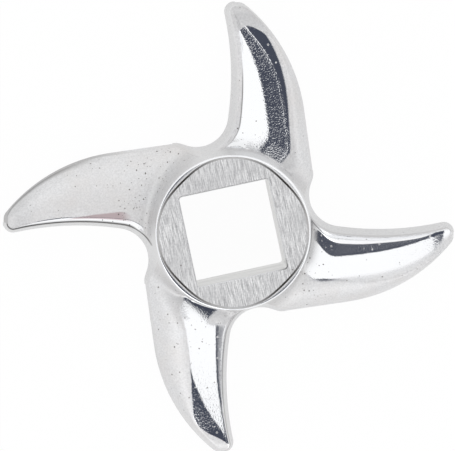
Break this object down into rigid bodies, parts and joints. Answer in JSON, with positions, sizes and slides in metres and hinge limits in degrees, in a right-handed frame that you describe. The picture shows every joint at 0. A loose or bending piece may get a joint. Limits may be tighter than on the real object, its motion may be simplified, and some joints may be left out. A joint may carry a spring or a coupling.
{
  "type": "meat grinder knife",
  "caption": "Cast stainless pinwheel knife with curved scooped arms and a square drive hole; it turns against a grinder's hole plate and cuts meat.",
  "frame": {"origin": "on the hub axis, in the plane of the plate side, at the middle of the part's footprint", "axes": "+Z along the hub axis, from the plate side to the ground hub face; X and Y square to the flats of the drive hole"},
  "size_m": [0.1168, 0.1168, 0.022],
  "materials": {
    "cast_stainless": "investment-cast stainless steel: arm tops polished, hub face ground, walls and roots left matt"
  },
  "bodies": {
    "root": {"grinder_knife": "cast_stainless"}
  },
  "joints": []
}
